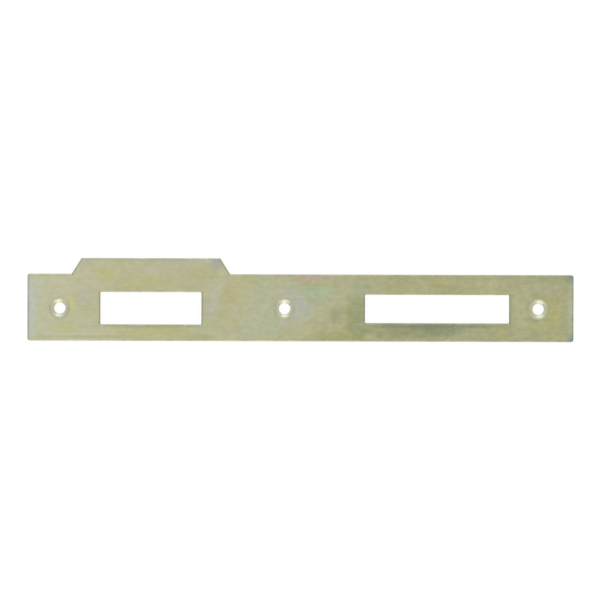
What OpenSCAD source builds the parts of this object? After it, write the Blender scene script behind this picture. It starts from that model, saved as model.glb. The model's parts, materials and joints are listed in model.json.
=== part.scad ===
// Door strike plate for a mortise lock: one flat stamping of plated steel sheet.
// A latch opening with a lip beside it, a bolt opening and three countersunk screw
// holes lie in one row. The back face is at z = 0 and the front face at z = sheet.
// The origin is the middle of the plate, lip left out. +X runs from the latch end
// to the bolt end, and the lip stands out towards +Y.

/* [Plate] */
// Length of the plate
plate_length = 204; // [190:1:240]
// Width of the plate, lip left out
plate_width = 25; // [22:0.5:34]
// Thickness of the steel sheet
sheet = 3; // [2.5:0.1:4]
// Radius of the four corners of the plate
corner_radius = 0.9; // [0.8:0.1:4]

/* [Lip] */
// How far the lip stands out past the long edge
lip_reach = 5.9; // [3:0.1:12]
// Length of the lip along its outer edge
lip_crest = 51.8; // [40:0.2:54]
// Length of the lip at its root, where its flanks meet the plate
lip_root = 59.2; // [56:0.2:66]

/* [Latch opening] */
// Length of the latch opening
latch_length = 37.8; // [30:0.2:46]
// Width of the latch opening
latch_width = 12.1; // [9:0.1:14]
// Metal left between the latch end and the latch opening
latch_margin = 27.2; // [22:0.1:34]

/* [Bolt opening] */
// Length of the bolt opening
bolt_length = 53.9; // [40:0.2:62]
// Width of the bolt opening
bolt_width = 10.6; // [8:0.1:14]
// Metal left between the bolt opening and the bolt end
bolt_margin = 24; // [21:0.1:34]

/* [Openings] */
// Radius in the corners of both openings
opening_corner_radius = 0.4; // [0.3:0.1:3]
// How far the row of openings and screw holes lies from mid width, away from the lip
row_offset = 0.3; // [0:0.1:1.5]

/* [Screw holes] */
// Diameter of the screw holes
screw_hole_diameter = 4.2; // [3.5:0.1:5]
// Diameter of the countersinks at the front face
countersink_diameter = 7.6; // [7:0.1:8.5]
// Full angle of the countersinks
countersink_angle = 90; // [82:1:100]
// Distance from the latch end to the nearest screw hole
latch_end_hole = 12; // [8:0.1:14]
// Distance from the bolt end to the nearest screw hole
bolt_end_hole = 13.1; // [8:0.1:14]
// How far the middle screw hole lies past mid way between the openings, to the bolt
middle_hole_shift = 0.5; // [-4:0.1:4]

/* [Rolled edges] */
// Radius of the band that the stamping rolls over along every front edge
roll_radius = 0.75; // [0.4:0.05:0.8]
// Slope at which the rolled band leaves the front face
roll_slope = 8; // [6:1:14]
// Angle between the rolled band and the sheared wall that it ends on
roll_break = 24; // [12:1:30]

/* [Hidden] */
$fn = 48;

// Overrun of each cut past the surface that it opens
overrun = 0.2;
// How far the lip's own blank reaches into the plate, past the rolled edge there
lip_overlap = 2;

// Ends and long edges of the plate
latch_end_x = -plate_length / 2;
bolt_end_x = plate_length / 2;
lip_side_y = plate_width / 2;

// The row of openings and screw holes
row_y = -row_offset;
latch_x = latch_end_x + latch_margin + latch_length / 2;
bolt_x = bolt_end_x - bolt_margin - bolt_length / 2;
openings_mid_x = (latch_x + latch_length / 2 + bolt_x - bolt_length / 2) / 2;
screw_x = [
    latch_end_x + latch_end_hole,
    openings_mid_x + middle_hole_shift,
    bolt_end_x - bolt_end_hole
];
countersink_depth = (countersink_diameter - screw_hole_diameter) / 2 / tan(countersink_angle / 2);

// The lip is centred on the latch opening. Half lengths at its outer edge, at its root
// and at the inner edge of its own blank, on straight flanks
crest_half = lip_crest / 2;
root_half = lip_root / 2;
inner_half = root_half + (root_half - crest_half) * lip_overlap / lip_reach;

// Centre of the rolled band's arc, inward from the wall and down from the front face,
// and the width of the band on the front face
roll_inset = roll_radius * cos(roll_break);
roll_drop = roll_radius * cos(roll_slope);
roll_width = roll_inset - roll_radius * sin(roll_slope);

// Rectangle with rounded corners, about the origin
module rounded_rectangle(size, radius) {
    square([size.x - 2 * radius, size.y], center = true);
    square([size.x, size.y - 2 * radius], center = true);
    for (x = [-1, 1], y = [-1, 1])
        translate([x * (size.x / 2 - radius), y * (size.y / 2 - radius)]) circle(r = radius);
}

// Section of what the stamping rolls off a front edge: x runs from the sheared wall
// into the metal, and y = 0 is the front face
module roll_section() {
    difference() {
        translate([-overrun, -roll_drop]) square([roll_width + overrun, roll_drop + overrun]);
        translate([roll_inset, -roll_drop]) circle(r = roll_radius);
    }
}

// What the roll takes off a straight edge that starts at the origin and runs along +X,
// with the metal on its left
module straight_roll(length) {
    rotate([90, 0, 90]) linear_extrude(length) roll_section();
}

// What the roll takes off round a rectangle at the front face. The metal lies inside
// the rectangle of a blank and outside the rectangle of an opening
module rectangle_roll(size, radius, metal_inside) {
    for (side = [0 : 3]) {
        run = (side % 2 == 0 ? size.x : size.y) - 2 * radius;
        reach = (side % 2 == 0 ? size.y : size.x) / 2;
        rotate(90 * side) {
            translate([-run / 2, -reach, sheet])
                mirror([0, metal_inside ? 0 : 1, 0]) straight_roll(run);
            translate([run / 2, radius - reach, sheet])
                rotate_extrude(angle = 90, start = -90)
                    translate([radius, 0])
                        mirror([metal_inside ? 1 : 0, 0]) roll_section();
        }
    }
}

// The plate's blank without its lip, rolled over at its front edges
module plate_blank() {
    size = [plate_length, plate_width];
    difference() {
        linear_extrude(sheet) rounded_rectangle(size, corner_radius);
        rectangle_roll(size, corner_radius, true);
    }
}

// The lip's blank, rolled over along its outer edge and its two flanks, which carry on
// inside the plate's blank as far as lip_overlap
module lip_blank() {
    crest_y = lip_side_y + lip_reach;
    inner_y = lip_side_y - lip_overlap;
    corners = [
        [inner_half, inner_y],
        [crest_half, crest_y],
        [-crest_half, crest_y],
        [-inner_half, inner_y]
    ];
    translate([latch_x, 0, 0]) difference() {
        linear_extrude(sheet) polygon(corners);
        for (i = [0 : 2]) {
            side = corners[i + 1] - corners[i];
            translate([corners[i].x, corners[i].y, sheet])
                rotate(atan2(side.y, side.x))
                    translate([-overrun, 0, 0]) straight_roll(norm(side) + 2 * overrun);
        }
    }
}

// Opening for the latch or the bolt, with the edge rolled over at its mouth
module opening(size) {
    translate([0, 0, -overrun])
        linear_extrude(sheet + 2 * overrun) rounded_rectangle(size, opening_corner_radius);
    rectangle_roll(size, opening_corner_radius, false);
}

// Hole for a countersunk screw, cut from below the back face to above the front face
module screw_hole() {
    mouth = countersink_diameter + 2 * overrun * tan(countersink_angle / 2);
    translate([0, 0, -overrun]) cylinder(h = sheet + 2 * overrun, d = screw_hole_diameter);
    translate([0, 0, sheet - countersink_depth])
        cylinder(h = countersink_depth + overrun, d1 = screw_hole_diameter, d2 = mouth);
}

// The plate: one sheet blanked with its lip, pierced and countersunk
module strike_plate() {
    color([0.70, 0.70, 0.56]) difference() {
        union() {
            plate_blank();
            lip_blank();
        }
        translate([latch_x, row_y, 0]) opening([latch_length, latch_width]);
        translate([bolt_x, row_y, 0]) opening([bolt_length, bolt_width]);
        for (x = screw_x) translate([x, row_y, 0]) screw_hole();
    }
}

strike_plate();
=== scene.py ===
"""Looks of a door strike plate: one stamping of zinc plated, yellow passivated steel.

The plate lies on its back on a pale floor, and the camera looks straight down on it. Its
edges carry what the press leaves behind: a rolled band at the front, a burnished band
below it, and a broken band from there to the back. The screw holes are countersunk.
"""

import json
import logging
import math
from collections.abc import Mapping, Sequence
from dataclasses import dataclass, field
from enum import Enum
from typing import Any

import bmesh
import bpy
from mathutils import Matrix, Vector, noise

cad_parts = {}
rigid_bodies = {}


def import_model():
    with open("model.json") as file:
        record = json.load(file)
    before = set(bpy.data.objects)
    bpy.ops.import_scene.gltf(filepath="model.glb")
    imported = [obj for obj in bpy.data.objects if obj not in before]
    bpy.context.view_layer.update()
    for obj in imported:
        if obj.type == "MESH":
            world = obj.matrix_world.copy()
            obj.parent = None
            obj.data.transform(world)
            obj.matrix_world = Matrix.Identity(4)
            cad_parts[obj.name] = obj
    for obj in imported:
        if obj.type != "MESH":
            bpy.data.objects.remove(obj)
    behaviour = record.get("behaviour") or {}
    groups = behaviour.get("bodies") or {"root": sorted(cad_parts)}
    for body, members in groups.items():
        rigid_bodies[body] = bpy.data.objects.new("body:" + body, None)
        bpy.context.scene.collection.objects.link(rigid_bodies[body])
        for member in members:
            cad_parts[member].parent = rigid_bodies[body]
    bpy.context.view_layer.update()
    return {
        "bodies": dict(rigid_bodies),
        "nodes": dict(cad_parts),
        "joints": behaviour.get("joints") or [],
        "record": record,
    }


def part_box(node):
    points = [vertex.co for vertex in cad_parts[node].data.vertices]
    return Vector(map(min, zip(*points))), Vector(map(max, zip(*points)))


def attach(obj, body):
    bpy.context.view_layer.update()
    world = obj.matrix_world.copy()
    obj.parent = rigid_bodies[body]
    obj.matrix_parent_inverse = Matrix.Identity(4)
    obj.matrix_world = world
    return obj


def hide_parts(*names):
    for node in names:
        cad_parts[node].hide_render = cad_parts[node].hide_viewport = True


log = logging.getLogger("strike_plate")

Colour = tuple[float, float, float, float]
Triple = tuple[float, float, float]
Span = tuple[float, float]
Ring = Sequence[bmesh.types.BMVert]

NODE = "strike_plate"
BODY = "root"
MM = 0.001

# What the mesh carries for the finishes
NEAR_EDGE = "near_edge"
UNROLLED = "run_and_depth"

# Sockets of a Mix node: its share and its two colours, and the colour that comes out
MIX_INPUTS = (0, 6, 7)
MIX_OUTPUT = 2

# Middle of a noise, the span that holds most of it, and spans over which effects set in
NOISE_MIDDLE = 0.5
NOISE_SPAN = (0.3, 0.7)
THICK_FILM = (0.46, 0.66)
DRAINED_FILM = (0.48, 0.68)
SCRATCHED_AREA = (0.5, 0.62)
EDGE_BREAKS = (0.35, 0.6)

# Step to a noise that has nothing in common with the one at the start
APART = (17.0, 5.0, 3.0)
# Distance from the middle of a scratch, in noise, at which it ends
SCRATCH_REACH = 0.012
# Cells per millimetre of the areas that are scratched
SCRATCHED_CELLS = (0.12, 0.2, 0.2)
# Distances from the middle of a stain, in reaches, at which it starts to fade and ends
STAIN_RIM = (0.25, 1.1)
# Share of an edge line that is left in its breaks
BROKEN_LINE = 0.45

# How metallic the zinc looks through its film
FILM_METAL = 0.9

# About how far one strip of a fillet turns, in degrees, and the fewest strips it gets
FILLET_TURN = 11
FILLET_STRIPS = 4
# Share of a broken back edge at its middle, where it bulges out
BULGE_SHARE = 0.3
# Share of the edge line on the flat strip beside an edge
RIM_LINE = 0.3
# Cell size of the noise that the ragged rings follow
RAGGED_CELL = 1.7 * MM
# Angle from which an edge of the mesh is shaded sharp
SHARP_ANGLE = math.radians(32)


def tint(red: int, green: int, blue: int) -> Colour:
    """Turns a tint as seen on a screen into the linear colour that a shader takes.

    Args:
        red: Red part, 0 to 255.
        green: Green part, 0 to 255.
        blue: Blue part, 0 to 255.

    Returns:
        The linear colour, with full opacity.
    """
    parts = [
        part / 12.92 if part <= 0.04045 else ((part + 0.055) / 1.055) ** 2.4
        for part in (red / 255, green / 255, blue / 255)
    ]
    return (parts[0], parts[1], parts[2], 1.0)


class NodeSheet:
    """A shader tree that is being filled in, for a material, a world or a group."""

    def __init__(self, tree: bpy.types.NodeTree) -> None:
        """Starts on an empty tree, in place of what the tree held."""
        self.tree = tree
        tree.nodes.clear()

    def node(self, kind: str, **settings: Any) -> bpy.types.Node:
        """Adds a node.

        Args:
            kind: The node's type, without the leading ShaderNode.
            **settings: Properties of the node.

        Returns:
            The new node.
        """
        made = self.tree.nodes.new("ShaderNode" + kind)
        for name, value in settings.items():
            setattr(made, name, value)
        return made

    def put(self, source: Any, into: bpy.types.NodeSocket) -> None:
        """Links a socket, or writes a plain value, into an input.

        Args:
            source: An output socket, or a value.
            into: The input that takes it.
        """
        if isinstance(source, bpy.types.NodeSocket):
            self.tree.links.new(source, into)
        else:
            into.default_value = source

    def feed(self, made: bpy.types.Node, *sources: Any) -> bpy.types.Node:
        """Fills in the first inputs of a node.

        Args:
            made: The node.
            *sources: What its inputs take, in their order.

        Returns:
            The same node.
        """
        for source, into in zip(sources, made.inputs):
            self.put(source, into)
        return made

    def fill(self, made: bpy.types.Node, **values: Any) -> bpy.types.Node:
        """Fills in inputs of a node by their names.

        Args:
            made: The node.
            **values: What each input takes, with underscores for the spaces in its name.

        Returns:
            The same node.
        """
        for name, source in values.items():
            self.put(source, made.inputs[name.replace("_", " ")])
        return made

    def effect(self, group: bpy.types.NodeTree, **values: Any) -> bpy.types.Node:
        """Places a shared effect with values of its own, and gives its node."""
        return self.fill(self.node("Group", node_tree=group), **values)

    def place(self) -> Any:
        """Gives the place on the object in millimetres."""
        return self.vector("MULTIPLY", self.node("TexCoord").outputs["Object"], (1 / MM,) * 3)

    def parts(self, source: Any) -> Any:
        """Takes a vector apart, and gives the sockets of its three parts."""
        return self.feed(self.node("SeparateXYZ"), source).outputs

    def joined(self, x: Any, y: Any, z: Any) -> Any:
        """Puts a vector together from three numbers or sockets."""
        return self.feed(self.node("CombineXYZ"), x, y, z).outputs[0]

    def math(self, operation: str, *terms: Any) -> Any:
        """Does a sum on numbers, and gives the socket with the result."""
        return self.feed(self.node("Math", operation=operation), *terms).outputs[0]

    def vector(self, operation: str, *terms: Any) -> Any:
        """Does a sum on vectors, and gives the socket with the vector, or with the length."""
        made = self.feed(self.node("VectorMath", operation=operation), *terms)
        return made.outputs["Value" if operation == "LENGTH" else "Vector"]

    def ramp(self, value: Any, low: Any, high: Any, start: Any = 0.0, end: Any = 1.0) -> Any:
        """Maps the span from low to high onto the one from start to end, in a smooth step."""
        made = self.node("MapRange", interpolation_type="SMOOTHSTEP")
        return self.feed(made, value, low, high, start, end).outputs["Result"]

    def cloud(self, at: Any, detail: float = 2.0, rough: float = 0.5, warp: float = 0.0) -> Any:
        """Adds a soft noise about a half, in cells of about one unit."""
        values = {"Vector": at, "Detail": detail, "Roughness": rough, "Distortion": warp}
        return self.fill(self.node("TexNoise"), Scale=1.0, **values).outputs[0]

    def blend(self, share: Any, first: Any, second: Any, mode: str = "MIX") -> Any:
        """Mixes two colours.

        Args:
            share: Share of the second colour.
            first: First colour or socket.
            second: Second colour or socket.
            mode: How they are mixed.

        Returns:
            The socket with the colour.
        """
        made = self.node("Mix", data_type="RGBA", blend_type=mode)
        for source, index in zip((share, first, second), MIX_INPUTS):
            self.put(source, made.inputs[index])
        return made.outputs[MIX_OUTPUT]


class Socket(Enum):
    """Kinds of socket that the shared effects have."""

    NUMBER = "NodeSocketFloat"
    VECTOR = "NodeSocketVector"
    COLOUR = "NodeSocketColor"


class EffectSheet(NodeSheet):
    """The node group of one shared effect, while it is being filled in."""

    def __init__(self, name: str, takes: Mapping[str, Socket], gives: Mapping[str, Socket]) -> None:
        """Starts a group with named inputs and outputs.

        Args:
            name: Name of the effect.
            takes: Its inputs.
            gives: Its outputs.
        """
        super().__init__(bpy.data.node_groups.new(name, "ShaderNodeTree"))
        for way, sockets in (("INPUT", takes), ("OUTPUT", gives)):
            for label, kind in sockets.items():
                self.tree.interface.new_socket(name=label, in_out=way, socket_type=kind.value)
        self.inlet = self.tree.nodes.new("NodeGroupInput")
        self.outlet = self.tree.nodes.new("NodeGroupOutput")

    def take(self, label: str) -> Any:
        """Gives the socket of one of the group's inputs."""
        return self.inlet.outputs[label]

    def give(self, **results: Any) -> bpy.types.NodeTree:
        """Links a socket to each of the group's outputs, and gives the finished group."""
        self.fill(self.outlet, **results)
        return self.tree


def passivation_film() -> bpy.types.NodeTree:
    """Builds the cloudy tint of a passivation film, which is thicker in some places.

    Returns:
        The group. Patch Size is in millimetres; Warm and Cool are shares of the Field.
    """
    tints = dict.fromkeys(("Field", "Warm", "Cool"), Socket.COLOUR)
    sheet = EffectSheet(
        "passivation_film",
        {"Place": Socket.VECTOR, "Patch Size": Socket.NUMBER, **tints, "Strength": Socket.NUMBER},
        {"Colour": Socket.COLOUR, "Thickness": Socket.NUMBER},
    )
    cells = sheet.vector("DIVIDE", sheet.take("Place"), sheet.take("Patch Size"))
    thickness = sheet.cloud(cells, detail=4.0, rough=0.55, warp=0.6)
    drained = sheet.cloud(sheet.vector("ADD", cells, APART), detail=3.0, warp=0.4)
    colour = sheet.take("Field")
    for cloud, span, label in ((thickness, THICK_FILM, "Warm"), (drained, DRAINED_FILM, "Cool")):
        share = sheet.math("MULTIPLY", sheet.ramp(cloud, *span), sheet.take("Strength"))
        colour = sheet.blend(share, colour, sheet.take(label), "MULTIPLY")
    return sheet.give(Colour=colour, Thickness=thickness)


def rolling_grain() -> bpy.types.NodeTree:
    """Builds the fine streaks that rolls, punches and cutters leave in steel.

    Returns:
        The group. Length along X and Width across it are in millimetres.
    """
    sheet = EffectSheet(
        "rolling_grain",
        {"Place": Socket.VECTOR, "Length": Socket.NUMBER, "Width": Socket.NUMBER},
        {"Streak": Socket.NUMBER},
    )
    size = sheet.joined(sheet.take("Length"), sheet.take("Width"), sheet.take("Width"))
    cells = sheet.vector("DIVIDE", sheet.take("Place"), size)
    return sheet.give(Streak=sheet.cloud(cells, detail=3.0, rough=0.6))


def hairlines() -> bpy.types.NodeTree:
    """Builds thin straight scratches that come and go.

    Returns:
        The group. Angle is in radians; Length and Width are in millimetres.
    """
    numbers = dict.fromkeys(("Angle", "Length", "Width"), Socket.NUMBER)
    sheet = EffectSheet("hairlines", {"Place": Socket.VECTOR, **numbers}, {"Line": Socket.NUMBER})
    spun = sheet.node("VectorRotate", rotation_type="Z_AXIS")
    sheet.fill(spun, Vector=sheet.take("Place"), Angle=sheet.take("Angle"))
    size = sheet.joined(sheet.take("Length"), sheet.take("Width"), sheet.take("Length"))
    cells = sheet.vector("DIVIDE", spun.outputs[0], size)
    aside = sheet.math("SUBTRACT", sheet.cloud(cells, detail=0.0), NOISE_MIDDLE)
    line = sheet.ramp(sheet.math("ABSOLUTE", aside), 0.0, SCRATCH_REACH, 1.0, 0.0)
    spread = sheet.cloud(sheet.vector("MULTIPLY", sheet.take("Place"), SCRATCHED_CELLS))
    return sheet.give(Line=sheet.math("MULTIPLY", line, sheet.ramp(spread, *SCRATCHED_AREA)))


def soft_stain_and_light() -> bpy.types.NodeTree:
    """Builds one soft patch with an uneven rim.

    Returns:
        The group. Centre and Reach are in millimetres, and Rag is a noise about zero.
    """
    places = dict.fromkeys(("Place", "Centre", "Reach"), Socket.VECTOR)
    numbers = dict.fromkeys(("Rag", "Unevenness"), Socket.NUMBER)
    sheet = EffectSheet("soft_stain_and_light", {**places, **numbers}, {"Mask": Socket.NUMBER})
    away = sheet.vector("SUBTRACT", sheet.take("Place"), sheet.take("Centre"))
    away = sheet.vector("DIVIDE", away, sheet.take("Reach"))
    ragged = sheet.math("MULTIPLY", sheet.take("Rag"), sheet.take("Unevenness"))
    distance = sheet.math("ADD", sheet.vector("LENGTH", away), ragged)
    return sheet.give(Mask=sheet.ramp(distance, *STAIN_RIM, 1.0, 0.0))


def edge_line() -> bpy.types.NodeTree:
    """Builds the uneven dark line that follows an edge, from the share stored on the mesh. The line
    is partly the film's own darker edge and partly painted shade of the rolled band.

    Returns:
        The group. Break Size is in millimetres.
    """
    sheet = EffectSheet(
        "edge_line",
        {"Place": Socket.VECTOR, "Nearness": Socket.NUMBER, "Break Size": Socket.NUMBER},
        {"Mask": Socket.NUMBER},
    )
    cells = sheet.vector("DIVIDE", sheet.take("Place"), sheet.take("Break Size"))
    broken = sheet.ramp(sheet.cloud(cells, detail=3.0, rough=0.6), *EDGE_BREAKS, BROKEN_LINE, 1.0)
    return sheet.give(Mask=sheet.math("MULTIPLY", sheet.take("Nearness"), broken))


@dataclass(frozen=True)
class SharedEffects:
    """The node groups that the finishes are put together from, each built once."""

    film: bpy.types.NodeTree = field(default_factory=passivation_film)
    grain: bpy.types.NodeTree = field(default_factory=rolling_grain)
    hairline: bpy.types.NodeTree = field(default_factory=hairlines)
    stain_and_light: bpy.types.NodeTree = field(default_factory=soft_stain_and_light)
    edge: bpy.types.NodeTree = field(default_factory=edge_line)


@dataclass(frozen=True)
class Relief:
    """How strongly the finest marks of a finish show.

    Attributes:
        strength: Share of the relief that shows.
        depth: Depth of a mark of height one.
    """

    strength: float
    depth: float


class FinishSheet(NodeSheet):
    """The material of one metal finish, while it is being filled in."""

    def __init__(self, name: str, shared: SharedEffects) -> None:
        """Starts the material.

        Args:
            name: Name of the material.
            shared: The shared node groups.
        """
        self.made = bpy.data.materials.new(name)
        self.made.use_nodes = True
        super().__init__(self.made.node_tree)
        self.shared = shared
        self.at = self.place()

    def unrolled(self) -> Any:
        """Gives the run along the edge and the depth below the front, in millimetres."""
        return self.node("UVMap", uv_map=UNROLLED).outputs[0]

    def finished(
        self, colour: Any, roughness: Any, height: Any, relief: Relief
    ) -> bpy.types.Material:
        """Joins the surface's colour, roughness and relief up to its shader.

        Args:
            colour: Socket with the tint.
            roughness: Socket with the roughness.
            height: Socket with the height of the finest marks.
            relief: How strongly those marks show.

        Returns:
            The finished material.
        """
        bump = self.node("Bump")
        self.fill(bump, Strength=relief.strength, Distance=relief.depth, Height=height)
        shader = self.fill(self.node("BsdfPrincipled"), Metallic=FILM_METAL)
        self.fill(shader, Base_Color=colour, Roughness=roughness, Normal=bump.outputs[0])
        self.fill(self.node("OutputMaterial"), Surface=shader.outputs[0])
        return self.made


@dataclass(frozen=True)
class Film:
    """Passivation film that clouds the tint below it.

    Attributes:
        warm: What the tint is multiplied by where the film is thick.
        cool: What the tint is multiplied by where the film has drained off.
        patch_size: Size of its clouds in millimetres.
        strength: Share of those two at their strongest.
    """

    warm: Colour
    cool: Colour
    patch_size: float
    strength: float = 0.5

    def laid(self, sheet: FinishSheet, below: Any) -> tuple[Any, Any]:
        """Lays the film over a tint.

        Args:
            sheet: The material's sheet.
            below: The tint, or its socket.

        Returns:
            The sockets with the clouded tint and with the film's thickness.
        """
        made = sheet.effect(
            sheet.shared.film,
            Place=sheet.at,
            Patch_Size=self.patch_size,
            Field=below,
            Warm=self.warm,
            Cool=self.cool,
            Strength=self.strength,
        )
        return made.outputs["Colour"], made.outputs["Thickness"]


@dataclass(frozen=True)
class Streaks:
    """Streaks that a tool left in the metal.

    Attributes:
        length: Their length in millimetres.
        width: Their width in millimetres.
        dark: What the tint is multiplied by in the lowest ones.
        light: What the tint is multiplied by in the highest ones.
    """

    length: float
    width: float
    dark: float
    light: float

    def laid(self, sheet: FinishSheet, at: Any) -> tuple[Any, Any]:
        """Lays the streaks along the X of a place.

        Args:
            sheet: The material's sheet.
            at: Socket with the place in millimetres.

        Returns:
            The sockets with their height and with what they multiply the tint by.
        """
        made = sheet.effect(sheet.shared.grain, Place=at, Length=self.length, Width=self.width)
        height = made.outputs["Streak"]
        return height, sheet.ramp(height, *NOISE_SPAN, self.dark, self.light)


@dataclass(frozen=True)
class StainAndLightPatch:
    """A soft patch of the film in a tint of its own: a stain, and at the latch end partly painted
    light.

    Attributes:
        centre: Place on the face in millimetres.
        reach: Half length and half width in millimetres.
        colour: Its tint.
        strength: Share of the tint at its middle.
        unevenness: How ragged its rim is.
    """

    centre: Span
    reach: Span
    colour: Colour
    strength: float
    unevenness: float = 1.2


BLUE_GREY = tint(158, 166, 166)
STEEL_BLUE = tint(134, 143, 150)
FROST = tint(188, 195, 184)
KHAKI = tint(182, 178, 138)
STONE = tint(178, 182, 168)
MAUVE_GREY = tint(187, 184, 171)
STRAW = tint(188, 184, 120)
TAN = tint(184, 175, 132)
OCHRE = tint(170, 166, 116)
SAND = tint(178, 177, 139)
HONEY = tint(198, 197, 148)
ROSE = tint(188, 170, 150)
SAGE = tint(178, 184, 158)
LEAF_GREEN = tint(168, 183, 150)
DARK_GREEN = tint(143, 147, 108)
SHADE_GREEN = tint(130, 139, 114)
OLIVE = tint(164, 162, 114)
PALE = tint(198, 202, 172)


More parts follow.
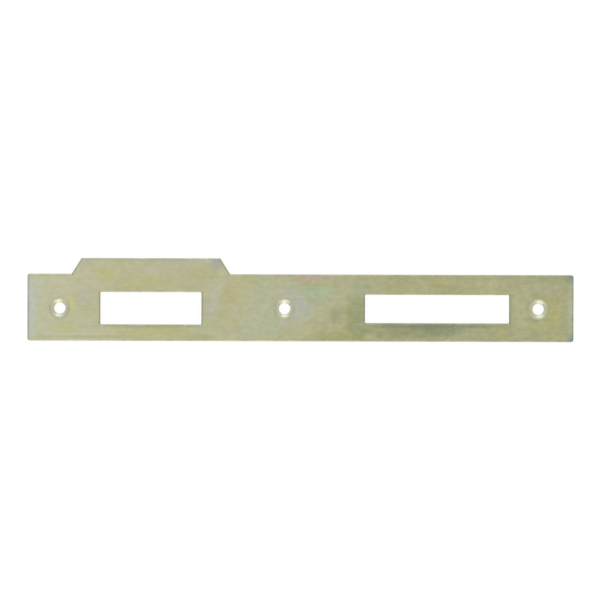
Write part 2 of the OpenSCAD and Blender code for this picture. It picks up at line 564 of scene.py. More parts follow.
@dataclass(frozen=True)
class PassivatedFace:
    """Rolled steel face under zinc and a cloudy yellow film.

    Attributes:
        half_length: Half the plate's length in millimetres.
        front: Height of the front face in millimetres.
        latch_end: Tint at the latch end.
        bolt_end: Tint at the bolt end; the face darkens from the one to the other.
        film: Clouds of the film.
        broad: Broad streaks of the rolling grain.
        fine: Fine streaks of the rolling grain.
        mottle: What the tint is multiplied by in the darkest and lightest of the mottle.
        mottle_size: Size of the mottle's cells in millimetres.
        latch_end_grain: Share of grain and mottle that shows at the latch end.
        line: Tint of the dark line along the edges, partly the film's own darker edge and partly
            painted shade of the rolled bands.
        line_share: Share of that line where it is strongest.
        line_break: Spacing of the breaks in that line, in millimetres.
        stain_and_light_depth: How far below the front face the patches fade out, in millimetres.
        rag_cells: Cells per millimetre of the noise in the patches' rims.
        roughness: Roughness of the flat face.
        film_span: Span of the film's thickness over which the roughness changes.
        film_matt: Roughness that the thinnest and the thickest film adds.
        stretched: Roughness that the metal gains where it rolls over an edge.
        scratch_sets: Angle in radians, length and spacing in millimetres of the scratches.
        scratch_share: Share of the pale tint in a scratch.
        scratch_matt: Roughness that a scratch adds.
        scratch_height: Height of a scratch, against that of the fine streaks.
        relief: How strongly streaks and scratches show.
        stains_and_light: Patches with a tint of their own: stains, one of which is partly painted
            light.
    """

    half_length: float
    front: float
    latch_end: Colour = tint(191, 190, 160)
    bolt_end: Colour = tint(168, 168, 130)
    film: Film = Film((1.0, 0.95, 0.72, 1.0), (0.88, 0.97, 1.0, 1.0), 11.0)
    broad: Streaks = Streaks(26.0, 0.9, 0.975, 1.025)
    fine: Streaks = Streaks(9.0, 0.16, 0.98, 1.02)
    mottle: Span = (0.92, 1.07)
    mottle_size: Triple = (2.4, 1.7, 1.7)
    latch_end_grain: float = 0.5
    line: Colour = tint(124, 127, 112)
    line_share: float = 0.45
    line_break: float = 5.0
    stain_and_light_depth: float = 3.4
    rag_cells: Triple = (0.28, 0.5, 0.5)
    roughness: float = 0.4
    film_span: Span = (0.35, 0.65)
    film_matt: Span = (-0.04, 0.05)
    stretched: float = 0.22
    scratch_sets: tuple[Triple, Triple] = ((0.21, 24.0, 1.5), (-0.55, 18.0, 1.9))
    scratch_share: float = 0.25
    scratch_matt: float = -0.08
    scratch_height: float = -0.6
    relief: Relief = Relief(0.8, 0.004 * MM)
    stains_and_light: tuple[StainAndLightPatch, ...] = (
        StainAndLightPatch((-55.0, 4.0), (34.0, 24.0), KHAKI, 0.6),
        # A pale stain at the latch end that is also painted light: it lightens the rolled band
        # there, which reflects a darker part of the surroundings.
        StainAndLightPatch((-102.0, 0.0), (5.5, 17.0), FROST, 0.9, 0.5),
        StainAndLightPatch((-102.2, 0.0), (2.4, 15.0), BLUE_GREY, 0.1, 0.4),
        StainAndLightPatch((-81.0, 5.0), (4.6, 5.0), MAUVE_GREY, 0.62),
        StainAndLightPatch((-85.6, 0.5), (3.2, 5.0), STRAW, 0.42),
        StainAndLightPatch((-86.6, 1.0), (3.4, 4.0), HONEY, 0.7),
        StainAndLightPatch((-87.5, -7.4), (7.0, 3.2), STRAW, 0.45),
        StainAndLightPatch((-73.0, 12.5), (5.0, 3.4), STRAW, 0.45),
        StainAndLightPatch((-58.0, 9.2), (13.0, 3.0), STRAW, 0.33),
        StainAndLightPatch((-56.0, 14.0), (5.0, 2.0), MAUVE_GREY, 0.5),
        StainAndLightPatch((-43.0, 16.4), (9.0, 2.4), MAUVE_GREY, 0.4),
        StainAndLightPatch((-56.0, -9.5), (16.0, 2.6), STRAW, 0.35),
        StainAndLightPatch((-36.5, -11.0), (6.0, 1.8), OLIVE, 0.45, 0.6),
        StainAndLightPatch((-33.0, 1.5), (3.4, 8.0), MAUVE_GREY, 0.5),
        StainAndLightPatch((-26.5, 6.0), (3.2, 6.5), TAN, 0.65),
        StainAndLightPatch((-14.0, 4.0), (9.0, 9.0), SAGE, 0.5),
        StainAndLightPatch((-16.0, -6.0), (8.0, 6.0), SAGE, 0.3),
        StainAndLightPatch((-5.5, 1.0), (5.0, 8.5), MAUVE_GREY, 0.8, 0.8),
        StainAndLightPatch((-0.5, 0.5), (5.5, 8.0), STONE, 0.75),
        StainAndLightPatch((4.5, 11.6), (8.5, 2.6), ROSE, 0.8),
        StainAndLightPatch((6.5, 5.6), (9.0, 3.8), LEAF_GREEN, 0.65),
        StainAndLightPatch((14.0, -10.5), (13.0, 3.6), OLIVE, 0.7),
        StainAndLightPatch((13.2, -2.8), (3.6, 5.0), SHADE_GREEN, 0.3, 0.8),
        StainAndLightPatch((21.0, -4.0), (6.0, 10.5), DARK_GREEN, 0.58),
        StainAndLightPatch((41.0, -8.4), (22.0, 4.4), DARK_GREEN, 0.7),
        StainAndLightPatch((53.0, -8.0), (11.0, 3.2), SHADE_GREEN, 0.6),
        StainAndLightPatch((50.0, -6.8), (32.0, 1.1), SHADE_GREEN, 0.75, 0.4),
        StainAndLightPatch((-56.0, -7.2), (25.0, 0.9), OLIVE, 0.5, 0.4),
        StainAndLightPatch((36.0, 9.0), (9.0, 4.0), OLIVE, 0.35),
        StainAndLightPatch((53.0, 8.8), (9.0, 4.4), OCHRE, 0.7),
        StainAndLightPatch((69.0, 8.6), (9.0, 5.0), SAND, 0.75),
        StainAndLightPatch((82.5, 0.0), (4.4, 14.0), SAND, 0.75),
        StainAndLightPatch((54.5, 9.5), (3.5, 2.0), TAN, 0.3),
        StainAndLightPatch((93.5, -3.0), (5.0, 8.0), STRAW, 0.35),
        StainAndLightPatch((88.0, -6.8), (3.6, 3.0), STRAW, 0.35),
        StainAndLightPatch((92.0, 7.4), (6.0, 3.6), STONE, 0.3),
        StainAndLightPatch((94.5, -11.0), (7.0, 2.4), TAN, 0.45),
        StainAndLightPatch((101.5, 11.5), (3.2, 2.8), STEEL_BLUE, 0.8, 0.5),
        StainAndLightPatch((101.6, 0.0), (2.6, 14.0), SAGE, 0.6, 0.5),
        StainAndLightPatch((101.8, -11.8), (2.6, 2.4), STEEL_BLUE, 0.8, 0.5),
        StainAndLightPatch((-80.3, 17.0), (3.4, 3.0), STONE, 0.65, 0.7),
        StainAndLightPatch((-31.0, 16.8), (3.6, 3.2), BLUE_GREY, 0.6, 0.7),
        StainAndLightPatch((-55.0, 18.6), (26.0, 1.7), BLUE_GREY, 0.42, 0.3),
        StainAndLightPatch((52.0, 11.1), (56.0, 0.7), OLIVE, 0.45, 0.35),
        StainAndLightPatch((-82.0, -10.9), (26.0, 0.65), OLIVE, 0.32, 0.35),
        StainAndLightPatch((-84.0, -10.1), (22.0, 0.5), PALE, 0.25, 0.35),
    )

    def material(self, shared: SharedEffects) -> bpy.types.Material:
        """Builds the material of the front and back faces and the rolled bands.

        Args:
            shared: The shared node groups.

        Returns:
            The material.
        """
        sheet = FinishSheet("passivated_face", shared)
        along = sheet.ramp(sheet.parts(sheet.at)[0], -self.half_length, self.half_length)
        below = sheet.blend(along, self.latch_end, self.bolt_end)
        colour, thickness = self.film.laid(sheet, below)
        colour, streak = self.grained(sheet, along, self.stained_and_lit(sheet, colour))
        # The dark edge line is partly the film's own darker edge and partly painted shade over the
        # rolled bands.
        near = sheet.node("Attribute", attribute_name=NEAR_EDGE).outputs["Fac"]
        rim = sheet.effect(shared.edge, Place=sheet.at, Nearness=near, Break_Size=self.line_break)
        rim_share = sheet.math("MULTIPLY", rim.outputs["Mask"], self.line_share)
        colour = sheet.blend(rim_share, colour, self.line)
        scratch = self.scratches(sheet)
        colour = sheet.blend(sheet.math("MULTIPLY", scratch, self.scratch_share), colour, PALE)

        matt = sheet.ramp(thickness, *self.film_span, *self.film_matt)
        matt = sheet.math("ADD", matt, self.roughness)
        matt = sheet.math("MULTIPLY_ADD", near, self.stretched, matt)
        matt = sheet.math("MULTIPLY_ADD", scratch, self.scratch_matt, matt)
        height = sheet.math("MULTIPLY_ADD", scratch, self.scratch_height, streak)
        return sheet.finished(colour, matt, height, self.relief)

    def stained_and_lit(self, sheet: FinishSheet, colour: Any) -> Any:
        """Lays the patches over the film, one after the other: stains, one of which is partly
        painted light.

        Args:
            sheet: The material's sheet.
            colour: Socket with the film's colour.

        Returns:
            The socket with the colour under the patches.
        """
        cells = sheet.vector("MULTIPLY", sheet.at, self.rag_cells)
        rag = sheet.math("SUBTRACT", sheet.cloud(cells, detail=4.0, rough=0.6), NOISE_MIDDLE)
        for stain_and_light in self.stains_and_light:
            mask = sheet.effect(
                sheet.shared.stain_and_light,
                Place=sheet.at,
                Centre=(*stain_and_light.centre, self.front),
                Reach=(*stain_and_light.reach, self.stain_and_light_depth),
                Rag=rag,
                Unevenness=stain_and_light.unevenness,
            ).outputs["Mask"]
            colour = sheet.blend(sheet.math("MULTIPLY", mask, stain_and_light.strength), colour, stain_and_light.colour)
        return colour

    def grained(self, sheet: FinishSheet, along: Any, colour: Any) -> tuple[Any, Any]:
        """Lays the rolling grain and a fine mottle over the film.

        Args:
            sheet: The material's sheet.
            along: Share of the way to the bolt end.
            colour: Socket with the film's colour.

        Returns:
            The sockets with the grained colour and with the height of the finest streaks.
        """
        shade = self.broad.laid(sheet, sheet.at)[1]
        height, fine = self.fine.laid(sheet, sheet.at)
        cells = sheet.vector("DIVIDE", sheet.at, self.mottle_size)
        mottle = sheet.ramp(sheet.cloud(cells, detail=3.0, rough=0.65), *NOISE_SPAN, *self.mottle)
        for other in (fine, mottle):
            shade = sheet.math("MULTIPLY", shade, other)
        start = self.latch_end_grain
        share = sheet.math("MULTIPLY_ADD", along, 1 - start, start)
        return sheet.blend(share, colour, shade, "MULTIPLY"), height

    def scratches(self, sheet: FinishSheet) -> Any:
        """Lays two sets of handling scratches over the face.

        Args:
            sheet: The material's sheet.

        Returns:
            The socket with their mask.
        """
        group = sheet.shared.hairline
        lines = [
            sheet.effect(group, Place=sheet.at, Angle=angle, Length=length, Width=width).outputs[0]
            for angle, length, width in self.scratch_sets
        ]
        return sheet.math("MAXIMUM", *lines)


@dataclass(frozen=True)
class ShearedWall:
    """Wall that a punch left: drawn lines in the burnished band, grains in the broken one.

    Attributes:
        break_depth: Depth at which the burnished band ends, in millimetres.
        burnished: Tint of the burnished band.
        broken: Tint of the broken band.
        film: Clouds of the film.
        break_span: How far below that depth the grains begin and are all that shows.
        wander: How far that change wanders up and down, in millimetres.
        wander_cells: Cells per millimetre of that wandering.
        drawn: Lines that the punch drew.
        grain_cells: Cells per millimetre of the grains.
        grain_height: Height of the grains in the burnished and in the broken band.
        matt: Roughness of the burnished and of the broken band.
        relief: How strongly lines and grains show.
    """

    break_depth: float
    burnished: Colour = tint(176, 176, 144)
    broken: Colour = tint(166, 165, 132)
    film: Film = Film((1.0, 0.9, 0.6, 1.0), (0.76, 0.9, 1.0, 1.0), 4.0)
    break_span: Span = (0.05, 0.5)
    wander: float = 0.5
    wander_cells: Triple = (0.7, 0.7, 0.0)
    drawn: Streaks = Streaks(0.11, 2.0, 0.9, 1.08)
    grain_cells: Triple = (5.0, 5.0, 5.0)
    grain_height: Span = (0.1, 3.0)
    matt: Span = (0.36, 0.55)
    relief: Relief = Relief(0.8, 0.015 * MM)

    def material(self, shared: SharedEffects) -> bpy.types.Material:
        """Builds the material of the sheared walls.

        Args:
            shared: The shared node groups.

        Returns:
            The material.
        """
        sheet = FinishSheet("sheared_wall", shared)
        unrolled = sheet.unrolled()
        cells = sheet.vector("MULTIPLY", sheet.at, self.wander_cells)
        wander = sheet.cloud(cells, detail=3.0, rough=0.6)
        depth = sheet.math("MULTIPLY_ADD", wander, self.wander, sheet.parts(unrolled)[1])
        broken = sheet.ramp(depth, *(self.break_depth + below for below in self.break_span))
        height, shade = self.drawn.laid(sheet, unrolled)
        colour = sheet.blend(broken, self.film.laid(sheet, self.burnished)[0], self.broken)
        colour = sheet.blend(1.0, colour, shade, "MULTIPLY")
        matt = sheet.ramp(broken, 0.0, 1.0, *self.matt)
        cells = sheet.vector("MULTIPLY", sheet.at, self.grain_cells)
        strength = sheet.ramp(broken, 0.0, 1.0, *self.grain_height)
        grains = sheet.math("MULTIPLY", sheet.cloud(cells, detail=4.0, rough=0.7), strength)
        return sheet.finished(colour, matt, sheet.math("ADD", grains, height), self.relief)


@dataclass(frozen=True)
class TurnedCone:
    """Countersink that a cutter turned, smoother towards the hole, and paler towards it by painted
    light.

    Attributes:
        mouth: Tint at the front face.
        throat_with_painted_light: Tint at the hole. It is paler than the mouth's by painted light,
            which stands in for lamp light that the cone's depth keeps out.
        painted_light_depth: Depth at which the tint has changed to the pale one at the hole, in
            millimetres.
        film: Clouds of the film.
        rings: Rings that the cutter left.
        matt_mouth: Roughness at the front face.
        smooth_throat: Roughness at the hole.
        smooth_span: Depths between which the roughness changes, in millimetres.
        ring_matt: Roughness that the lowest and the highest rings add.
        relief: How strongly the rings show.
    """

    mouth: Colour = tint(200, 199, 172)
    throat_with_painted_light: Colour = tint(226, 225, 209)
    painted_light_depth: float = 1.5
    film: Film = Film((1.0, 0.96, 0.82, 1.0), (0.9, 0.96, 1.0, 1.0), 2.2, 0.6)
    rings: Streaks = Streaks(6.0, 0.11, 0.9, 1.05)
    matt_mouth: float = 0.8
    smooth_throat: float = 0.35
    smooth_span: Span = (0.1, 1.2)
    ring_matt: Span = (0.04, -0.04)
    relief: Relief = Relief(0.7, 0.008 * MM)

    def material(self, shared: SharedEffects) -> bpy.types.Material:
        """Builds the material of the countersinks and the holes below them.

        Args:
            shared: The shared node groups.

        Returns:
            The material.
        """
        sheet = FinishSheet("turned_cone", shared)
        x, y = sheet.parts(sheet.at)[:2]
        depth = sheet.parts(sheet.unrolled())[1]
        slow = sheet.math("MULTIPLY", y, self.rings.width / self.rings.length)
        height, shade = self.rings.laid(sheet, sheet.joined(x, depth, slow))
        # Painted light: the tint pales from the mouth down to the hole, standing in for lamp light
        # that the cone's depth keeps out.
        below = sheet.blend(sheet.ramp(depth, 0.0, self.painted_light_depth), self.mouth, self.throat_with_painted_light)
        colour = sheet.blend(1.0, self.film.laid(sheet, below)[0], shade, "MULTIPLY")
        matt = sheet.ramp(depth, *self.smooth_span, self.matt_mouth, self.smooth_throat)
        ring_matt = sheet.ramp(height, *NOISE_SPAN, *self.ring_matt)
        return sheet.finished(colour, sheet.math("ADD", matt, ring_matt), height, self.relief)


class MetalSide(Enum):
    """Side of a traced edge on which the metal lies; every edge is traced anticlockwise."""

    INSIDE = 1.0
    OUTSIDE = -1.0


class Surface(Enum):
    """Surfaces with a material of their own, by material index."""

    FACE = 0
    WALL = 1
    CONE = 2


@dataclass(frozen=True)
class Corner:
    """Corner of an edge in plan.

    Attributes:
        x: Place along the plate.
        y: Place across the plate.
        radius: Radius of its fillet, or zero where it is mitred.
    """

    x: float
    y: float
    radius: float = 0.0


@dataclass(frozen=True)
class EdgePoint:
    """Point of a traced edge.

    Attributes:
        at: Place in plan.
        into_metal: Direction into the metal. At a mitred corner it is longer than one, so
            that both sides of the corner move in by the same amount.
        run: Distance along the edge.
    """

    at: Vector
    into_metal: Vector
    run: float


def to_left(heading: Vector) -> Vector:
    """Turns a heading in plan a quarter turn to the left."""
    return Vector((-heading.y, heading.x))


def turned(heading: Vector, angle: float) -> Vector:
    """Turns a heading in plan to the left by an angle in radians."""
    cosine, sine = math.cos(angle), math.sin(angle)
    return Vector((heading.x * cosine - heading.y * sine, heading.x * sine + heading.y * cosine))


def trace_edge(corners: Sequence[Corner], side: MetalSide, step: float) -> list[EdgePoint]:
    """Walks round an edge in plan.

    Args:
        corners: Its corners, anticlockwise.
        side: Side on which the metal lies.
        step: Spacing of the points along straight stretches.

    Returns:
        The points of the closed edge.
    """
    spots = [Vector((corner.x, corner.y)) for corner in corners]
    count = len(spots)
    ahead = [(spots[(i + 1) % count] - spots[i]).normalized() for i in range(count)]
    bends = [
        math.atan2(ahead[i - 1].cross(ahead[i]), ahead[i - 1].dot(ahead[i])) for i in range(count)
    ]
    cuts = [c.radius * math.tan(abs(bend) / 2) for c, bend in zip(corners, bends)]
    places: list[tuple[Vector, Vector]] = []
    for i, corner in enumerate(corners):
        normal = to_left(ahead[i - 1])
        if corner.radius > 0:
            sign = math.copysign(1.0, bends[i])
            centre = spots[i] - ahead[i - 1] * cuts[i] + normal * corner.radius * sign
            pieces = max(FILLET_STRIPS, round(math.degrees(abs(bends[i])) / FILLET_TURN))
            for k in range(pieces + 1):
                facing = turned(normal, bends[i] * k / pieces)
                places.append((centre - facing * corner.radius * sign, facing))
        else:
            other = to_left(ahead[i])
            places.append((spots[i], (normal + other) / (1 + normal.dot(other))))
        start = spots[i] + ahead[i] * cuts[i]
        end = spots[(i + 1) % count] - ahead[i] * cuts[(i + 1) % count]
        pieces = max(1, round((end - start).length / step))
        for k in range(1, pieces):
            places.append((start.lerp(end, k / pieces), to_left(ahead[i])))
    points: list[EdgePoint] = []
    run = 0.0
    for i, (at, facing) in enumerate(places):
        run += (at - places[i - 1][0]).length if i else 0.0
        points.append(EdgePoint(at, facing * side.value, run))
    return points


def trace_circle(centre: Vector, radius: float, pieces: int) -> list[EdgePoint]:
    """Walks round a hole in plan.

    Args:
        centre: Middle of the hole.
        radius: Its radius.
        pieces: How many points it gets.

    Returns:
        The points of the hole, with the metal outside.
    """
    around = [turned(Vector((1.0, 0.0)), math.tau * k / pieces) for k in range(pieces)]
    return [
        EdgePoint(centre + out * radius, out, math.tau * radius * k / pieces)
        for k, out in enumerate(around)
    ]


@dataclass(frozen=True)
class SectionStep:
    """One ring of an edge's section.

    Attributes:
        inset: How far the ring lies inside the metal.
        depth: How far it lies below the front face.
        near_edge: Share of the edge line that the ring takes, 0 to 1.
        surface: Surface of the band that leads down to the ring.
        ragged: How far the ring wanders up and down along the edge.
    """

    inset: float
    depth: float
    near_edge: float = 0.0
    surface: Surface = Surface.FACE
    ragged: float = 0.0


class EdgeSection:
    """Section that runs along an edge, from the front face round to the back face."""

    def steps(self) -> list[SectionStep]:
        """Lists the rings of the section, from the front face to the back face."""
        raise NotImplementedError

    def wobble(self, point: EdgePoint, step: SectionStep) -> float:
        """Gives the extra inset of a point on a ring: none, where no tool chattered."""
        return 0.0


@dataclass(frozen=True)
class ShearedEdge(EdgeSection):
    """Section of a punched edge.

    Attributes:
        sheet: Thickness of the plate.
        roll_radius: Radius of the band that the press rolls over.
        roll_slope: Slope at which that band leaves the front face.
        roll_break: Angle between that band and the wall that it ends on.
        roll_pieces: How many strips that band gets.
        roll_line: Share of the edge line where that band starts.
        burnish_depth: Depth at which the burnished band ends.
        fracture_inset: How far the broken band slants inward down to the back.
        slant: Shares of that inset at the top and halfway down the broken band.
        back_break: How far the back edge is broken.
        wander: How far the start of the broken band wanders up and down.
        rim: Width of the flat strip that borders the edge on both faces.
        fine: Height of the narrow strips that keep the shading of each band apart.
    """

    sheet: float
    roll_radius: float = 0.75 * MM
    roll_slope: float = math.radians(8)
    roll_break: float = math.radians(24)
    roll_pieces: int = 9
    roll_line: float = 0.4
    burnish_depth: float = 1.55 * MM
    fracture_inset: float = 0.07 * MM
    slant: Span = (0.35, 0.7)
    back_break: float = 0.08 * MM
    wander: float = 0.42 * MM
    rim: float = 0.26 * MM
    fine: float = 0.03 * MM

    def rolled(self) -> list[SectionStep]:
        """Lists the rings of the rolled band.

        Returns:
            The rings, from the front face to the sheared wall.
        """
        first, last = self.roll_slope, math.pi / 2 - self.roll_break
        inward = self.roll_radius * math.cos(self.roll_break)
        down = self.roll_radius * math.cos(self.roll_slope)
        rings = []
        for k in range(self.roll_pieces + 1):
            share = k / self.roll_pieces
            slope = first + (last - first) * share
            inset = inward - self.roll_radius * math.sin(slope)
            depth = down - self.roll_radius * math.cos(slope)
            rings.append(SectionStep(inset, depth, self.roll_line + (1 - self.roll_line) * share))
        return rings

    def steps(self) -> list[SectionStep]:
        """Lists the rings of the section.

        Returns:
            The rings, from the front face to the back face.
        """
        rolled, wall, wander = self.rolled(), Surface.WALL, self.wander
        width, lowest = rolled[0].inset, rolled[-1].depth
        taper, back, bulge = self.fracture_inset, self.back_break, self.back_break * BULGE_SHARE
        upper, lower = self.burnish_depth - self.fine, self.burnish_depth + 2 * self.fine
        return [
            SectionStep(width + self.rim, 0.0, 0.0),
            SectionStep(width + self.rim / 3, 0.0, RIM_LINE),
            *rolled,
            SectionStep(0.0, lowest + self.fine, 1.0, wall),
            SectionStep(0.0, upper, 1.0, wall, wander),
            SectionStep(taper * self.slant[0], lower, 1.0, wall, wander),
            SectionStep(taper * self.slant[1], (lower + self.sheet) / 2, 1.0, wall, wander / 2),
            SectionStep(taper, self.sheet - back, 1.0, wall),
            SectionStep(taper + bulge, self.sheet - bulge, 1.0),
            SectionStep(taper + back, self.sheet, 1.0),
            SectionStep(taper + back + self.rim, self.sheet, 0.0),
        ]


@dataclass(frozen=True)
class CountersunkHole(EdgeSection):
    """Screw hole with a turned cone at the front.

    Attributes:
        centre: Middle of the hole in plan.
        radius: Radius of the hole.
        mouth: Radius of the cone at the front face.
        sheet: Thickness of the plate.
        lobes: How many faint flats the cutter's chatter left round the cone.
        phase: Turn of the first flat.
        chatter: How deep those flats are.
        rim: Width of the flat strip round the mouth.
        slope: Slope of the cone.
        rounding: Radius of the bend from the front face into the cone.
        rounded_rings: How many rings that rounding gets.
        fine: Height of the narrow strips that keep the shading of each band apart.
        flare: How far the punch's break widens the hole at the back.
        flare_depth: How far that break reaches up from the back.
        pieces: How many points the hole gets.
        cone_rings: How many rings the cone gets.
    """

    centre: Vector
    radius: float
    mouth: float
    sheet: float
    lobes: int
    phase: float
    chatter: float = 0.022 * MM
    rim: float = 0.8 * MM
    slope: float = math.radians(45)
    rounding: float = 0.35 * MM
    rounded_rings: int = 5
    fine: float = 0.04 * MM
    flare: float = 0.1 * MM
    flare_depth: float = 0.35 * MM
    pieces: int = 120
    cone_rings: int = 8

    @property
    def cone_depth(self) -> float:
        """Depth at which the cone meets the hole."""
        return (self.mouth - self.radius) * math.tan(self.slope)

    def steps(self) -> list[SectionStep]:
        """Lists the rings of the section, as insets from the hole.

        Returns:
            The rings, from the front face to the back face.
        """
        wide, cone = self.mouth - self.radius, Surface.CONE
        flare, reach = self.flare, self.flare_depth
        level = wide + self.rounding * math.tan(self.slope / 2)
        rings = []
        for k in range(1, self.rounded_rings + 1):
            angle = self.slope * k / self.rounded_rings
            inset = level - self.rounding * math.sin(angle)
            rings.append(SectionStep(inset, self.rounding * (1 - math.cos(angle)), 1.0, cone))
        top, bottom = rings[-1].depth, self.cone_depth - self.fine
        for k in range(1, self.cone_rings + 1):
            depth = top + (bottom - top) * k / self.cone_rings
            rings.append(SectionStep(wide - depth / math.tan(self.slope), depth, 1.0, cone))
        return [
            SectionStep(wide + self.rim, 0.0, 0.0),
            SectionStep(level, 0.0, RIM_LINE),
            *rings,
            SectionStep(0.0, self.cone_depth + self.fine, 1.0, cone),
            SectionStep(0.0, self.sheet - reach, 1.0, cone),
            SectionStep(flare * BULGE_SHARE, self.sheet - reach * BULGE_SHARE, 1.0, cone, flare / 2),
            SectionStep(flare, self.sheet, 1.0, cone),
            SectionStep(flare + self.rim / 2, self.sheet, 0.0),
        ]

    def wobble(self, point: EdgePoint, step: SectionStep) -> float:
        """Works out how far the chatter moves a point of the cone into the metal.

        Args:
            point: Point of the hole's edge.
            step: The ring that it is on.

        Returns:
            The extra inset.
        """
        share = step.depth / self.cone_depth
        if not 0 < share < 1:
            return 0.0
        flats = math.sin(self.lobes * point.run / self.radius + self.phase)
        return self.chatter * math.sin(math.pi * share) * flats


def set_out(name: str, data: bpy.types.ID) -> bpy.types.Object:
    """Puts a mesh, a lamp or a camera into the scene.

    Args:
        name: Name of the object.
        data: What the object shows.

    Returns:
        The object.
    """
    made = bpy.data.objects.new(name, data)
    bpy.context.scene.collection.objects.link(made)
    return made


class MetalMesh:
    """The plate's mesh, while its edges and faces are put together."""

    def __init__(self, top: float) -> None:
        """Starts an empty mesh.

        Args:
            top: Height of the front face.
        """
        self.top = top
        self.work = bmesh.new()
        self.near = self.work.verts.layers.float.new(NEAR_EDGE)
        self.unrolled = self.work.loops.layers.uv.new(UNROLLED)

    def ring(self, points: Sequence[EdgePoint], step: SectionStep, section: EdgeSection) -> Ring:
        """Adds one ring of vertices along an edge.

        Args:
            points: Points of the edge.
            step: The ring's place in the section.
            section: The section.

        Returns:
            The ring's vertices.
        """
        made = []
        for point in points:
            at = point.at + point.into_metal * (step.inset + section.wobble(point, step))
            depth = step.depth + step.ragged * noise.noise(Vector((*at, 0.0)) / RAGGED_CELL)
            vertex = self.work.verts.new((*at, self.top - depth))
            vertex[self.near] = step.near_edge
            made.append(vertex)
        return made

    def band(
        self, rings: Sequence[Ring], points: Sequence[EdgePoint], steps: Sequence[SectionStep]
    ) -> None:
        """Joins two rings with faces and unrolls them in millimetres.

        Args:
            rings: The upper and the lower ring.
            points: Points of the edge that both follow.
            steps: The places of the two rings in the section.
        """
        upper, lower = rings
        levels = [steps[i].depth for i in (0, 1, 1, 0)]
        whole = points[-1].run + (points[0].at - points[-1].at).length
        for i, point in enumerate(points):
            j = (i + 1) % len(points)
            face = self.work.faces.new((upper[i], lower[i], lower[j], upper[j]))
            face.material_index = steps[1].surface.value
            ahead = points[j].run if j else whole
            for loop, run, level in zip(face.loops, (point.run, point.run, ahead, ahead), levels):
                loop[self.unrolled].uv = (run / MM, level / MM)

    def sweep(self, points: Sequence[EdgePoint], section: EdgeSection) -> tuple[Ring, Ring]:
        """Runs a section along an edge.

        Args:
            points: Points of the edge.
            section: The section.

        Returns:
            The first ring, on the front face, and the last one, on the back face.
        """
        steps = section.steps()
        rings = [self.ring(points, step, section) for step in steps]
        for i in range(1, len(steps)):
            self.band(rings[i - 1 : i + 1], points, steps[i - 1 : i + 1])
        return rings[0], rings[-1]

    def cap(self, rings: Sequence[Ring]) -> None:
        """Fills the flat face between an outer ring and the rings of its holes.

        Args:
            rings: The rings that bound the face.
        """
        edges = [
            self.work.edges.get((ring[i - 1], ring[i])) for ring in rings for i in range(len(ring))
        ]
        made = bmesh.ops.triangle_fill(
            self.work, use_beauty=True, use_dissolve=False, edges=edges, normal=(0.0, 0.0, 1.0)
        )
        for part in made["geom"]:
            if isinstance(part, bmesh.types.BMFace):
                part.material_index = Surface.FACE.value

    def finished(self, name: str) -> bpy.types.Object:
        """Turns the mesh into an object of the scene.

        Args:
            name: Name of the piece.

        Returns:
            The object, shaded smooth apart from its sharp edges.
        """
        bmesh.ops.recalc_face_normals(self.work, faces=self.work.faces[:])
        mesh = bpy.data.meshes.new(name)
        self.work.to_mesh(mesh)
        self.work.free()
        mesh.shade_smooth()
        mesh.set_sharp_from_angle(angle=SHARP_ANGLE)
        return set_out(name, mesh)


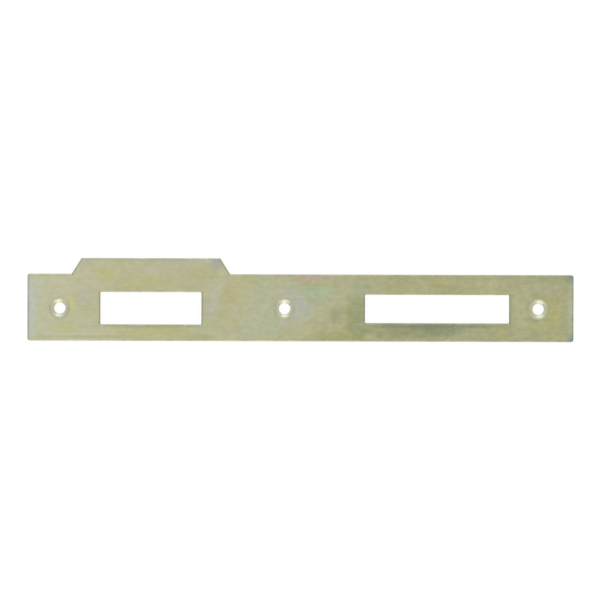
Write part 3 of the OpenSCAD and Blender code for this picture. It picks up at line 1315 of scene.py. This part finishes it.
@dataclass
class StrikePlate:
    """The stamped plate, with its lip, two openings and three countersunk holes.

    Attributes:
        low: Lowest corner of the plate's box.
        high: Highest corner of the plate's box.
        openings: Low and high corners of the two openings in plan.
        screws: Middle of each screw hole and its radius.
        lip_reach: How far the lip stands out past the long edge.
        lip_crest: Length of the lip along its outer edge.
        lip_root: Length of the lip where it meets the plate.
        corner_radius: Radius of the plate's corners.
        opening_radius: Radius in the corners of the openings.
        countersink_radius: Radius of the countersinks at the front face.
        opening_clearance: How far each opening is larger than what it holds, on each side.
        point_spacing: Spacing of the points along straight edges.
        chatter: Number and turn of the faint flats in each countersink.
    """

    low: Vector
    high: Vector
    openings: list[tuple[Vector, Vector]]
    screws: list[tuple[Vector, float]]
    lip_reach: float = 5.9 * MM
    lip_crest: float = 51.8 * MM
    lip_root: float = 59.2 * MM
    corner_radius: float = 0.9 * MM
    opening_radius: float = 0.4 * MM
    countersink_radius: float = 3.8 * MM
    opening_clearance: float = 0.2 * MM
    point_spacing: float = 0.7 * MM
    chatter: tuple[tuple[int, float], ...] = ((5, 0.6), (7, 2.3), (5, 4.1))

    @classmethod
    def from_frame(cls, frame: Mapping[str, Any]) -> "StrikePlate":
        """Takes the plate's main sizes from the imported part.

        Args:
            frame: What the frame holds.

        Returns:
            The plate.
        """
        low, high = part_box(NODE)
        record = frame["record"]
        plate = cls(low, high, [], [])
        slack = Vector((plate.opening_clearance,) * 2)
        for opening in record["physics"]["openings"]:
            near, far = (Vector(corner[:2]) for corner in opening["box_m"])
            plate.openings.append((near - slack, far + slack))
        for mount in record["mounts"]:
            if mount["kind"] == "bore":
                place = Vector(mount["pos_m"][:2])
                plate.screws.append((place, mount["dims"]["r_mm"] * MM))
        return plate

    @property
    def sheet(self) -> float:
        """Thickness of the plate."""
        return self.high.z - self.low.z

    @property
    def section(self) -> ShearedEdge:
        """Section of the outline and of the openings' edges."""
        return ShearedEdge(self.sheet)

    def outline(self) -> list[Corner]:
        """Lists the corners of the plate with its lip.

        Returns:
            The corners, anticlockwise.
        """
        near, far = self.openings[0]
        middle = (near.x + far.x) / 2
        shoulder = self.high.y - self.lip_reach
        left, right, radius = self.low.x, self.high.x, self.corner_radius
        return [
            Corner(left, self.low.y, radius),
            Corner(right, self.low.y, radius),
            Corner(right, shoulder, radius),
            Corner(middle + self.lip_root / 2, shoulder),
            Corner(middle + self.lip_crest / 2, self.high.y),
            Corner(middle - self.lip_crest / 2, self.high.y),
            Corner(middle - self.lip_root / 2, shoulder),
            Corner(left, shoulder, radius),
        ]

    def build(self) -> bpy.types.Object:
        """Builds the plate's mesh.

        Returns:
            The plate's object, without its materials.
        """
        mesh = MetalMesh(self.high.z)
        edges = [trace_edge(self.outline(), MetalSide.INSIDE, self.point_spacing)]
        for near, far in self.openings:
            places = ((near.x, near.y), (far.x, near.y), (far.x, far.y), (near.x, far.y))
            corners = [Corner(x, y, self.opening_radius) for x, y in places]
            edges.append(trace_edge(corners, MetalSide.OUTSIDE, self.point_spacing))
        ends = [mesh.sweep(points, self.section) for points in edges]
        for (centre, radius), chatter in zip(self.screws, self.chatter):
            hole = CountersunkHole(centre, radius, self.countersink_radius, self.sheet, *chatter)
            ends.append(mesh.sweep(trace_circle(centre, radius, hole.pieces), hole))
        for rings in zip(*ends):
            mesh.cap(rings)
        return mesh.finished("plate")

    def dress(self, plate: bpy.types.Object, shared: SharedEffects) -> None:
        """Gives each surface of the plate its finish.

        Args:
            plate: The plate's object.
            shared: The shared node groups.
        """
        face = PassivatedFace(half_length=self.high.x / MM, front=self.high.z / MM)
        wall = ShearedWall(break_depth=self.section.burnish_depth / MM)
        for finish in (face, wall, TurnedCone()):
            plate.data.materials.append(finish.material(shared))


@dataclass(frozen=True)
class PaleFloor:
    """White floor under the plate, which keeps a trace of its shadow.

    Attributes:
        half_side: Half the side of the floor.
        gap: How far the floor lies below the plate's back face.
        paint: Colour of the lit part of the floor.
        white: Strength of the white that the camera and the metal see.
        shadow_share: Share of the floor that is lit rather than white by itself.
    """

    half_side: float = 3.0
    gap: float = 0.02 * MM
    paint: Colour = (0.9, 0.9, 0.9, 1.0)
    white: float = 1.03
    shadow_share: float = 0.1

    def build(self, height: float) -> bpy.types.Object:
        """Builds the floor.

        Args:
            height: Height of the plate's back face.

        Returns:
            The floor's object.
        """
        side, z = self.half_side, height - self.gap
        mesh = bpy.data.meshes.new("floor")
        corners = [(-side, -side, z), (side, -side, z), (side, side, z), (-side, side, z)]
        mesh.from_pydata(corners, [], [(0, 1, 2, 3)])
        mesh.materials.append(self.material())
        return set_out("floor", mesh)

    def material(self) -> bpy.types.Material:
        """Builds the floor's material, mostly white by itself and partly lit.

        Returns:
            The material.
        """
        made = bpy.data.materials.new("pale_floor")
        made.use_nodes = True
        sheet = NodeSheet(made.node_tree)
        ray = sheet.node("LightPath")
        seen = sheet.math("MAXIMUM", ray.outputs["Is Camera Ray"], ray.outputs["Is Glossy Ray"])
        seen = sheet.math("MAXIMUM", seen, ray.outputs["Is Transmission Ray"])
        share = sheet.math("MULTIPLY", seen, 1.0 - self.shadow_share)
        lit = sheet.fill(sheet.node("BsdfDiffuse"), Color=self.paint)
        plain = sheet.fill(sheet.node("Emission"), Strength=self.white)
        mixed = sheet.feed(sheet.node("MixShader"), share, lit.outputs[0], plain.outputs[0])
        sheet.fill(sheet.node("OutputMaterial"), Surface=mixed.outputs[0])
        return made


@dataclass(frozen=True)
class SoftLamp:
    """Soft rectangular lamp that is aimed at the plate.

    Attributes:
        name: Name of the lamp.
        place: Where it hangs.
        size: Its width and height.
        power: Its power in watts.
    """

    name: str
    place: Triple
    size: Span
    power: float

    def build(self) -> bpy.types.Object:
        """Hangs the lamp and aims it at the middle of the plate.

        Returns:
            The lamp's object.
        """
        lamp = bpy.data.lights.new(self.name, "AREA")
        lamp.shape = "RECTANGLE"
        lamp.size, lamp.size_y = self.size
        lamp.energy = self.power
        made = set_out(self.name, lamp)
        made.location = self.place
        made.rotation_euler = (-Vector(self.place)).to_track_quat("-Z", "Y").to_euler()
        made.visible_camera = False
        return made


@dataclass(frozen=True)
class Studio:
    """Soft light from a pale ceiling, with a softer horizon and a lamp on each long side.

    Attributes:
        sky: Brightness of the surroundings by the sine of their height.
        lean: How far the sky leans to the side of the plate without the lip.
        lamps: The lamps.
    """

    sky: tuple[Span, ...] = ((0.0, 0.79), (0.35, 0.78), (0.7, 0.83), (0.9, 0.96), (1.0, 1.02))
    lean: float = 0.12
    lamps: tuple[SoftLamp, ...] = (
        SoftLamp("lamp_lip_side", (0.0, 0.75, 0.27), (0.6, 0.24), 1.8),
        SoftLamp("lamp_plain_side", (0.0, -0.75, 0.27), (0.6, 0.24), 2.2),
    )

    def build(self) -> None:
        """Builds the surroundings and hangs the lamps."""
        world = bpy.data.worlds.new("studio")
        bpy.context.scene.world = world
        world.use_nodes = True
        sheet = NodeSheet(world.node_tree)
        facing = sheet.parts(sheet.node("TexCoord").outputs["Generated"])
        height = sheet.math("MULTIPLY_ADD", facing[1], -self.lean, facing[2])
        ramp = sheet.feed(sheet.node("ValToRGB"), height)
        stops = ramp.color_ramp.elements
        while len(stops) < len(self.sky):
            stops.new(0.5)
        for stop, (position, bright) in zip(stops, self.sky):
            stop.position = position
            stop.color = (bright, bright, bright, 1.0)
        light = sheet.fill(sheet.node("Background"), Color=ramp.outputs[0])
        sheet.fill(sheet.node("OutputWorld"), Surface=light.outputs[0])
        for lamp in self.lamps:
            lamp.build()


@dataclass(frozen=True)
class OverheadCamera:
    """Camera with a long lens that looks straight down on the plate.

    Attributes:
        view_width: Width that the picture spans at the front face.
        pixels: Width of the picture in pixels.
        aim: Pixel at which the middle of the plate's box shows.
        tilt: Turn of the camera in degrees; the plate shows turned the other way.
        lens: Focal length in millimetres.
        sensor: Width of the sensor in millimetres.
        clip: Nearest and farthest distance that the camera sees.
    """

    view_width: float = 224.08 * MM
    pixels: float = 600.0
    aim: Span = (300.5, 300.0)
    tilt: float = 0.18
    lens: float = 200.0
    sensor: float = 36.0
    clip: Span = (0.01, 20.0)

    def build(self, low: Vector, high: Vector) -> bpy.types.Object:
        """Sets the camera up over the plate.

        Args:
            low: Lowest corner of the plate's box.
            high: Highest corner of the plate's box.

        Returns:
            The camera's object.
        """
        data = bpy.data.cameras.new("camera")
        data.lens = self.lens
        data.sensor_width = self.sensor
        data.clip_start, data.clip_end = self.clip
        middle = (low + high) / 2
        pixel = self.view_width / self.pixels
        offset = turned(
            Vector((self.pixels / 2 - self.aim[0], self.aim[1] - self.pixels / 2)) * pixel,
            math.radians(self.tilt),
        )
        height = high.z + self.view_width * self.lens / self.sensor
        made = set_out("camera", data)
        made.location = (middle.x + offset.x, middle.y + offset.y, height)
        made.rotation_euler = (0.0, 0.0, math.radians(self.tilt))
        bpy.context.scene.camera = made
        return made


def main() -> None:
    """Builds the plate and its studio, in order."""
    logging.basicConfig(level=logging.INFO, format="%(name)s: %(message)s")
    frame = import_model()
    bpy.context.scene.view_settings.view_transform = "Standard"

    plate = StrikePlate.from_frame(frame)
    piece = plate.build()
    plate.dress(piece, SharedEffects())
    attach(piece, BODY)
    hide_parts(NODE)
    log.info("%s: %d faces", piece.name, len(piece.data.polygons))

    PaleFloor().build(plate.low.z)
    Studio().build()
    OverheadCamera().build(plate.low, plate.high)
    log.info("floor, light and camera are set")


if __name__ == "__main__":
    main()
